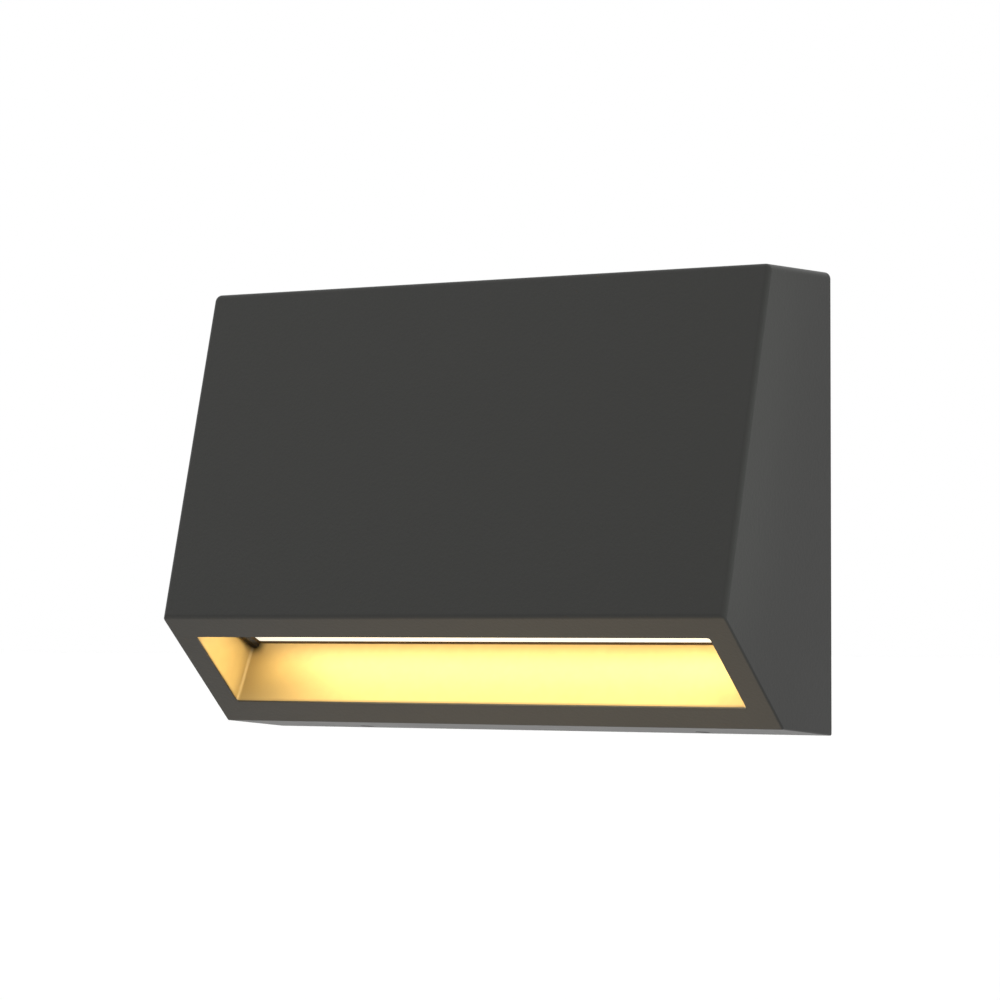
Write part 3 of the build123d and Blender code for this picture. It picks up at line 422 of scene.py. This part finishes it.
def chipFinish():
    material, field, shader = newFinish("ledPhosphor", IOR=1.45, Roughness=0.35, Emission_Strength=2.0)
    along, across, _ = axes(field, engineCoords(field))
    within = field.maths("PINGPONG", along, chip["pitch"] / 2) - chip["pitch"] / 2
    radius = field.maths("SQRT", within * within + across * across)
    rim = ease(field, radius, *chip["windowEdge"])
    colour = blend(field, rim, rgba(chip["phosphor"]), rgba(chip["frame"]))
    feed(field, shader, Base_Color=colour, Emission_Color=colour)
    return material


finishes = {
    "anthracite_powder_coat": coatFinish(),
    "reflector_gold": goldFinish(),
    "zinc_plated_steel": zincFinish(),
    "stainless_fastener": mouldedFinish("stainlessFastener", (0.62, 0.61, 0.59), tone=0.08, mottle=0.0015,
                                        skin=0.0002, skinDepth=0.000002, roughness=0.28, metallic=1.0),
    "black_set_screw": mouldedFinish("blackOxideSteel", (0.07, 0.07, 0.075), tone=0.2, mottle=0.001,
                                     skin=0.00015, skinDepth=0.000004, roughness=0.4, metallic=0.7),
    "mill_aluminium": mouldedFinish("millAluminium", (0.72, 0.73, 0.74), tone=0.05, mottle=0.004,
                                    skin=0.00025, skinDepth=0.000006, roughness=0.36, metallic=1.0,
                                    stretch=(0.04, 1.0, 1.0)),
    "foam_gasket": foamFinish(),
    "grommet_rubber": mouldedFinish("grommetRubber", (0.022, 0.022, 0.023), tone=0.25, skinDepth=0.00002,
                                    roughness=0.62),
    "silicone_seal": mouldedFinish("siliconeSeal", (0.055, 0.03, 0.006), roughness=0.6, ior=1.3),
    "thermal_silicone": mouldedFinish("thermalSilicone", (0.42, 0.48, 0.55), roughness=0.6),
    "opal_diffuser": opalFinish(),
    "white_plastic": mouldedFinish("whitePlastic", (0.8, 0.79, 0.76), tone=0.03, roughness=0.42, swing=0.1),
    "black_plastic": mouldedFinish("blackPlastic", (0.028, 0.028, 0.029), tone=0.15, skin=0.0005,
                                   skinDepth=0.00003, roughness=0.5),
    "natural_nylon": mouldedFinish("naturalNylon", (0.78, 0.73, 0.6), tone=0.05, roughness=0.4),
    "contact_brass": mouldedFinish("contactBrass", (0.78, 0.58, 0.26), tone=0.1, mottle=0.002,
                                   roughness=0.3, metallic=1.0),
    "tinned_copper": mouldedFinish("tinnedCopper", (0.66, 0.65, 0.62), tone=0.1, mottle=0.001,
                                   roughness=0.38, metallic=1.0),
    "white_solder_mask": boardFinish("whiteSolderMask", (0.82, 0.82, 0.79), (0.88, 0.87, 0.82), 0.004),
    "green_circuit_board": boardFinish("greenCircuitBoard", (0.02, 0.11, 0.045), (0.05, 0.2, 0.08), 0.003),
    "led_phosphor": chipFinish(),
    "circuit_components": mouldedFinish("circuitComponents", (0.06, 0.06, 0.065), tone=0.3, mottle=0.01,
                                        roughness=0.4),
    "brown_insulation": mouldedFinish("brownInsulation", (0.12, 0.045, 0.02), roughness=0.4),
    "blue_insulation": mouldedFinish("blueInsulation", (0.03, 0.09, 0.4), roughness=0.4),
    "green_yellow_insulation": earthSheathFinish(),
    "red_insulation": mouldedFinish("redInsulation", (0.42, 0.02, 0.015), roughness=0.4),
    "black_insulation": mouldedFinish("blackInsulation", (0.02, 0.02, 0.02), roughness=0.4),
}
for name, piece in nodes.items():
    piece.data.materials.clear()
    piece.data.materials.append(finishes[slotOf[name]])
print("finishes made:", len(finishes))


# boxes of the separate solids of a node, along the three axes of a basis: corners that share an edge take
# the lowest label among them until nothing changes, and each label left is one solid
def solidBoxes(node, basis):
    mesh = nodes[node].data
    points = cornersOf(node)
    edges = np.empty(2 * len(mesh.edges), dtype=int)
    mesh.edges.foreach_get("vertices", edges)
    _, spot = np.unique(points.round(6), axis=0, return_inverse=True)  # to the micrometre
    spot = spot.ravel()
    first, second = spot[edges.reshape(-1, 2)].T
    label = np.arange(spot.max() + 1)
    settled = False
    while not settled:
        before = label.copy()
        lowest = np.minimum(label[first], label[second])
        np.minimum.at(label, first, lowest)
        np.minimum.at(label, second, lowest)
        settled = np.array_equal(before, label)
    local = points @ basis.T
    owner = label[spot]
    groups = np.unique(owner)
    lows = np.array([local[owner == group].min(0) for group in groups])
    highs = np.array([local[owner == group].max(0) for group in groups])
    return lows, highs


# skins a stack of closed rings, copies x rings x columns x 3, with quads, and merges rings that meet at a
# pole; edges over the sharp angle stay hard
def makePiece(name, points, slot, body, *replaced, sharp=32.0, merge=2e-6):
    copies, rings, columns, _ = points.shape
    index = np.arange(copies * rings * columns).reshape(copies, rings, columns)
    ahead = np.roll(index, -1, axis=2)
    faces = np.stack((index[:, :-1], ahead[:, :-1], ahead[:, 1:], index[:, 1:]), -1).reshape(-1, 4)
    mesh = bpy.data.meshes.new(name)
    mesh.from_pydata(points.reshape(-1, 3).tolist(), [], faces.tolist())
    sewn = bmesh.new()
    sewn.from_mesh(mesh)
    bmesh.ops.remove_doubles(sewn, verts=sewn.verts, dist=merge)
    bmesh.ops.recalc_face_normals(sewn, faces=sewn.faces)
    sewn.to_mesh(mesh)
    sewn.free()
    mesh.shade_smooth()
    mesh.set_sharp_from_angle(angle=math.radians(sharp))
    mesh.materials.append(finishes[slot])
    piece = bpy.data.objects.new(name, mesh)
    bpy.context.scene.collection.objects.link(piece)
    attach(piece, body)
    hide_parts(*replaced)
    return piece


# rings of a turned shape: radius and height of each ring at each angle, set on a basis at each place
def turned(radius, height, angle, basis, places):
    radius = np.broadcast_to(radius, (len(radius), len(angle)))
    height = np.broadcast_to(height, radius.shape)
    local = np.stack((radius * np.cos(angle), radius * np.sin(angle), height), -1)
    return (local[None] + places[:, None, None, :]) @ basis


# rings that are the same all round, one for each value
def evenRings(angle, *values):
    return np.array(values)[:, None] + 0 * angle


# rings of a screw thread: a ridge with straight flanks that climbs one pitch for each turn and fades out
# over one pitch at each end
def threadRings(shank, depth, pitch, start, end, angle, perTurn):
    height = np.arange(start, end, -pitch / perTurn)[:, None]
    climb = (height / pitch + angle / (2 * math.pi)) % 1.0
    taper = np.clip(np.minimum(start - height, height - end) / pitch, 0.0, 1.0)
    return shank - depth * (1 - taper * (1 - np.abs(2 * climb - 1))), height + 0 * angle


# pan-head screws with a cross recess: the recess wall stands at the end of an arm or at its side, whichever
# is nearer, and the head falls from crown to edge with the square of the radius; lengths are in shank radii
pan = {
    "headRatio": 1.7, "headHeight": 1.2, "edgeHeight": 0.55, "rimHeight": 0.06, "rimRatio": 0.96,
    "arm": 0.92, "armWidth": 0.24, "recess": 0.85, "recessTaper": 0.8, "recessCone": 0.15,
    "pitch": 0.36, "threadDepth": 0.14, "threadStart": 0.1, "perTurn": 5, "tipLength": 0.5,
    "tipRatio": 0.55, "armColumns": 5, "gapColumns": 9, "domeRings": 8,
}
wallward, roomward, upward = (0.0, 1.0, 0.0), (0.0, -1.0, 0.0), tuple(engineAxis)
panScrews = {
    "rear_cover_screws": {"faces": wallward, "body": "lamp_head"},
    "plug_screws": {"faces": wallward, "body": "lamp_head"},
    "head_earth_screw": {"faces": wallward, "body": "lamp_head"},
    "driver_screws": {"faces": roomward, "body": "lamp_head"},
    "heat_sink_screws": {"faces": upward, "body": "lamp_head"},
    "led_board_screws": {"faces": tuple(-engineAxis), "body": "lamp_head"},
    "terminal_fixing_screws": {"faces": roomward, "body": "wall_bracket"},
    "earth_screw": {"faces": roomward, "body": "wall_bracket"},
}


def panScrewRings(shank, length):
    head, crown, edge = pan["headRatio"] * shank, pan["headHeight"] * shank, pan["edgeHeight"] * shank
    arm, half = pan["arm"] * shank, pan["armWidth"] * shank
    corner = math.asin(half / arm)
    armAngles = np.linspace(-corner, corner, pan["armColumns"])
    gapAngles = np.linspace(corner, math.pi / 2 - corner, pan["gapColumns"])[1:-1]
    quarter = np.concatenate((armAngles, gapAngles))
    angle = (quarter[None] + np.arange(4)[:, None] * math.pi / 2).ravel()
    off = np.abs((angle + math.pi / 4) % (math.pi / 2) - math.pi / 4)
    cross = np.minimum(arm / np.cos(off), half / np.maximum(np.sin(off), 1e-6))  # no division by zero
    spread = np.linspace(0.0, 1.0, pan["domeRings"])[:, None]
    domeRadius = cross + (head - cross) * spread
    domeHeight = edge + (crown - edge) * (1 - (domeRadius / head) ** 2)
    floorHeight = crown - pan["recess"] * shank
    root, tip = (1 - pan["threadDepth"]) * shank, pan["tipLength"] * shank - length
    threadRadius, threadHeight = threadRings(shank, pan["threadDepth"] * shank, pan["pitch"] * shank,
                                             -pan["threadStart"] * shank, tip, angle, pan["perTurn"])
    radius = np.concatenate((
        np.stack((0 * angle, pan["recessTaper"] * cross)), domeRadius,
        evenRings(angle, head, pan["rimRatio"] * head, root), threadRadius,
        evenRings(angle, root, pan["tipRatio"] * shank, 0)))
    height = np.concatenate((
        evenRings(angle, floorHeight - pan["recessCone"] * shank, floorHeight), domeHeight,
        evenRings(angle, pan["rimHeight"] * shank, 0, 0), threadHeight,
        evenRings(angle, tip, -length, -length)))
    return radius, height, angle


for name, row in panScrews.items():
    facing = np.array(row["faces"])
    basis = np.stack((np.array((1.0, 0.0, 0.0)), np.cross(facing, (1.0, 0.0, 0.0)), facing))
    lows, highs = solidBoxes(name, basis)
    shank = (highs - lows)[0, 0] / 2 / pan["headRatio"]
    headTop = pan["headHeight"] * shank
    length = (highs - lows)[0, 2] - headTop
    places = (lows + highs) / 2
    places[:, 2] = highs[:, 2] - headTop
    radius, height, angle = panScrewRings(shank, length)
    makePiece(name.replace("screw", "panhead"), turned(radius, height, angle, basis, places), slotOf[name],
              row["body"], name)
print("cross-head screws made:", len(panScrews), "sets")


# socket set screws: six-sided socket, chamfered ends, cut thread and a plain tip
setScrew = {"socket": 0.00125, "socketDepth": 0.0025, "socketFlare": 1.1, "pitch": 0.0008,
            "threadDepth": 0.00042, "perTurn": 8, "chamfer": 0.0004, "tipRadius": 0.0015,
            "tipLength": 0.0012, "tipBevel": 0.85, "columns": 72}


def setScrewRings(shank, length):
    angle = np.arange(setScrew["columns"]) * 2 * math.pi / setScrew["columns"]
    off = (angle + math.pi / 6) % (math.pi / 3) - math.pi / 6
    hexagon = setScrew["socket"] / np.cos(off)
    chamfer, depth, tipRadius = setScrew["chamfer"], setScrew["socketDepth"], setScrew["tipRadius"]
    root, threadEnd = shank - setScrew["threadDepth"], setScrew["tipLength"] - length
    threadRadius, threadHeight = threadRings(shank, setScrew["threadDepth"], setScrew["pitch"], -chamfer,
                                             threadEnd, angle, setScrew["perTurn"])
    radius = np.concatenate((
        np.stack((0 * angle, hexagon, hexagon, setScrew["socketFlare"] * hexagon)),
        evenRings(angle, root - chamfer / 2), threadRadius,
        evenRings(angle, root, tipRadius, tipRadius, setScrew["tipBevel"] * tipRadius, 0)))
    height = np.concatenate((
        evenRings(angle, -depth - chamfer, -depth, -chamfer / 3, 0, 0), threadHeight,
        evenRings(angle, threadEnd, threadEnd, chamfer / 2 - length, -length, -length)))
    return radius, height, angle


for side in ("left", "right"):
    basis = np.array(((1.0, 0.0, 0.0), (0.0, -1.0, 0.0), (0.0, 0.0, -1.0)))
    lows, highs = solidBoxes("set_screw_" + side, basis)
    places = (lows + highs) / 2
    places[:, 2] = highs[:, 2]
    radius, height, angle = setScrewRings((highs - lows)[0, 0] / 2, (highs - lows)[0, 2])
    makePiece("socket_screw_" + side, turned(radius, height, angle, basis, places), "black_set_screw",
              side + "_screw", "set_screw_" + side)
print("set screws made")


# rubber grommet: a closed profile turned round the cable hole, its front stepped in rings, its bore ribbed
grommet = {"neck": 0.00845, "flange": 0.0103, "top": 0.0067, "bore": 0.004, "ribDepth": 0.00045, "ribs": 3,
           "steps": 3, "stepDepth": 0.8, "perStep": 12, "columns": 96, "backDepth": 0.0012,
           "neckDepth": 0.002, "roll": 0.0004, "rollRings": 5}


def grommetRings(thickness):
    angle = np.arange(grommet["columns"]) * 2 * math.pi / grommet["columns"]
    roll, neckEnd = grommet["roll"], grommet["backDepth"] + grommet["neckDepth"]
    rolled, arc = grommet["flange"] - roll, np.linspace(0.0, math.pi / 2, grommet["rollRings"])
    backRadius = np.concatenate((rolled + roll * np.sin(arc), rolled + roll * np.cos(arc)))
    backHeight = np.concatenate((roll - roll * np.cos(arc),
                                 grommet["backDepth"] - roll + roll * np.sin(arc)))
    climb = np.linspace(0.0, 1.0, grommet["perStep"] * grommet["steps"] + 1)
    turns = 2 * math.pi * grommet["steps"]
    stair = climb - grommet["stepDepth"] * np.sin(turns * climb) / turns
    frontRadius = grommet["flange"] + (grommet["top"] - grommet["flange"]) * stair
    frontHeight = neckEnd + (thickness - neckEnd) * climb
    fall = np.linspace(1.0, 0.0, grommet["perStep"] * grommet["ribs"] + 1)
    rib = 0.5 - 0.5 * np.cos(2 * math.pi * grommet["ribs"] * fall)
    boreRadius = grommet["bore"] + grommet["ribDepth"] * (1 - rib)
    radius = np.concatenate((backRadius, (grommet["neck"], grommet["neck"]), frontRadius, boreRadius,
                             backRadius[:1]))
    height = np.concatenate((backHeight, (grommet["backDepth"], neckEnd), frontHeight, thickness * fall,
                             backHeight[:1]))
    return radius[:, None], height[:, None], angle


basis = np.array(((1.0, 0.0, 0.0), (0.0, 0.0, 1.0), (0.0, -1.0, 0.0)))
lows, highs = solidBoxes("cable_grommet", basis)
places = (lows + highs) / 2
places[:, 2] = lows[:, 2]
radius, height, angle = grommetRings((highs - lows)[0, 2])
makePiece("ribbed_grommet", turned(radius, height, angle, basis, places), "grommet_rubber", "wall_bracket",
          "cable_grommet", sharp=50.0)
print("grommet made")


# camera at the photograph's angle: seen from the right and a little below, through a long lens
shot = {"place": (0.76426, -1.15875, -0.03963), "yaw": 34.049, "pitch": 1.765, "lens": 142.69,
        "sensor": 36.0}
camera = bpy.data.objects.new("camera", bpy.data.cameras.new("camera"))
camera.data.lens = shot["lens"]
camera.data.sensor_width = shot["sensor"]
camera.location = shot["place"]
camera.rotation_euler = (math.radians(90 + shot["pitch"]), 0.0, math.radians(shot["yaw"]))
bpy.context.scene.collection.objects.link(camera)
bpy.context.scene.camera = camera
bpy.context.scene.view_settings.view_transform = "Standard"


# soft box lamps: place, size, power in watts, colour
lamps = {
    "fillLeft": {"place": (-1.6, -1.9, 1.5), "size": 1.6, "power": 3.0, "colour": (1.0, 0.99, 0.96)},
    "sideRight": {"place": (0.145, -0.052, 0.02), "size": 0.012, "tall": 0.15, "power": 0.03,
                  "colour": (0.95, 1.0, 1.0), "towards": (0.115, -0.052, 0.02), "lean": 14.3,
                  "mirrored": False},
    "lowGlow": {"place": (-0.08, -0.08, -0.44), "size": 0.42, "power": 0.5, "colour": (1.0, 0.66, 0.2)},
}
sun = {"from": (0.9, -1.6, 1.6), "strength": 1.2, "softness": 30.0, "colour": (1.0, 0.99, 0.97)}
middle = (cadLow + cadHigh) / 2
for name, lamp in lamps.items():
    light = bpy.data.lights.new(name, "AREA")
    light.energy, light.size, light.color = lamp["power"], lamp["size"], lamp["colour"]
    light.shape, light.size_y = "RECTANGLE", lamp.get("tall", lamp["size"])
    holder = bpy.data.objects.new(name, light)
    holder.location = lamp["place"]
    holder.visible_camera = False
    aim = Vector(lamp.get("towards", middle)) - Vector(lamp["place"])
    lean = Quaternion(aim, math.radians(lamp.get("lean", 0.0)))
    holder.rotation_euler = (lean @ aim.to_track_quat("-Z", "Y")).to_euler()
    holder.visible_glossy = lamp.get("mirrored", True)
    bpy.context.scene.collection.objects.link(holder)
daylight = bpy.data.lights.new("keyHigh", "SUN")
daylight.energy, daylight.color = sun["strength"], sun["colour"]
daylight.angle = math.radians(sun["softness"])
holder = bpy.data.objects.new("keyHigh", daylight)
holder.location = sun["from"]
holder.rotation_euler = (-Vector(sun["from"])).to_track_quat("-Z", "Y").to_euler()
holder.visible_glossy = False
bpy.context.scene.collection.objects.link(holder)


# whether a ray comes from the camera, through clear material or off a shiny surface
def rayKinds(field):
    direct = field.node("LightPath", output="Is Camera Ray")
    others = direct.socket.node.outputs
    through = Field(field.tree, others["Is Transmission Ray"])
    return direct, through, Field(field.tree, others["Is Glossy Ray"])


# white surroundings for the camera and for reflections, a calmer level for lighting
sky = {"white": (1.0, 1.0, 1.0), "level": 1.0, "ambient": 0.62}
dips = {  # soft darker patches that only reflections see: direction, half angle in degrees, depth
    "behindCamera": {"towards": (-0.56, -0.83, 0.05), "spread": 18.0, "depth": 0.9},
    "behindRight": {"towards": (0.5, 0.867, 0.03), "spread": 50.0, "depth": 0.16},
}
world = bpy.data.worlds.new("surroundings")
world.use_nodes = True
bpy.context.scene.world = world
air = Field(world.node_tree)
direct, through, mirrored = rayKinds(air)
seen = air.maths("MAXIMUM", direct, through)
outward = air.node("TexCoord", output="Generated")
mirrorLevel = sky["level"]
for dip in dips.values():
    towards = tuple(Vector(dip["towards"]).normalized())
    facing = air.node("VectorMath", {"operation": "DOT_PRODUCT"}, {0: outward, 1: towards}, "Value")
    edge = math.cos(math.radians(dip["spread"]))
    mirrorLevel = mirrorLevel - ease(air, facing, edge, 1.0) * dip["depth"]
backdrop = world.node_tree.nodes["Background"]
backdrop.inputs["Color"].default_value = rgba(sky["white"])
ambient = sky["ambient"]
strength = ambient + seen * (sky["level"] - ambient) + mirrored * (mirrorLevel - ambient)
air.tree.links.new(strength.socket, backdrop.inputs["Strength"])


# pale floor well under the light: a flat square grid, white to the camera, keeping the shadow, and with no
# underside, so that the light can be looked at from below
ground = {"level": -0.45, "reach": 40.0, "colour": (0.82, 0.82, 0.82), "roughness": 0.9, "lift": 0.28}
u, v = np.meshgrid((-1.0, 1.0), (-1.0, 1.0), indexing="ij")
corners = np.stack((u * ground["reach"], v * ground["reach"], np.full_like(u, ground["level"])), -1)
floorMesh = bpy.data.meshes.new("floor")
floorMesh.from_pydata(corners.reshape(-1, 3).tolist(), [], [(0, 2, 3, 1)])
floor = bpy.data.objects.new("floor", floorMesh)
bpy.context.scene.collection.objects.link(floor)
floorMaterial, field, shader = newFinish("paleFloor", Base_Color=rgba(ground["colour"]),
                                         Roughness=ground["roughness"], Emission_Strength=1.0)
direct, through, mirrored = rayKinds(field)
seen = field.maths("MAXIMUM", direct, field.maths("MAXIMUM", mirrored, through))
lifted = blend(field, seen, rgba((0.0, 0.0, 0.0)), rgba((ground["lift"],) * 3))
feed(field, shader, Emission_Color=lifted)
under = field.node("NewGeometry", output="Backfacing")
face = Field(field.tree, shader.outputs["BSDF"])
oneSided = field.node("MixShader", sockets={0: under, 1: face, 2: field.node("BsdfTransparent")})
field.tree.links.new(oneSided.socket, floorMaterial.node_tree.nodes["Material Output"].inputs["Surface"])
floorMesh.materials.append(floorMaterial)
print("camera, lamps and floor in place")
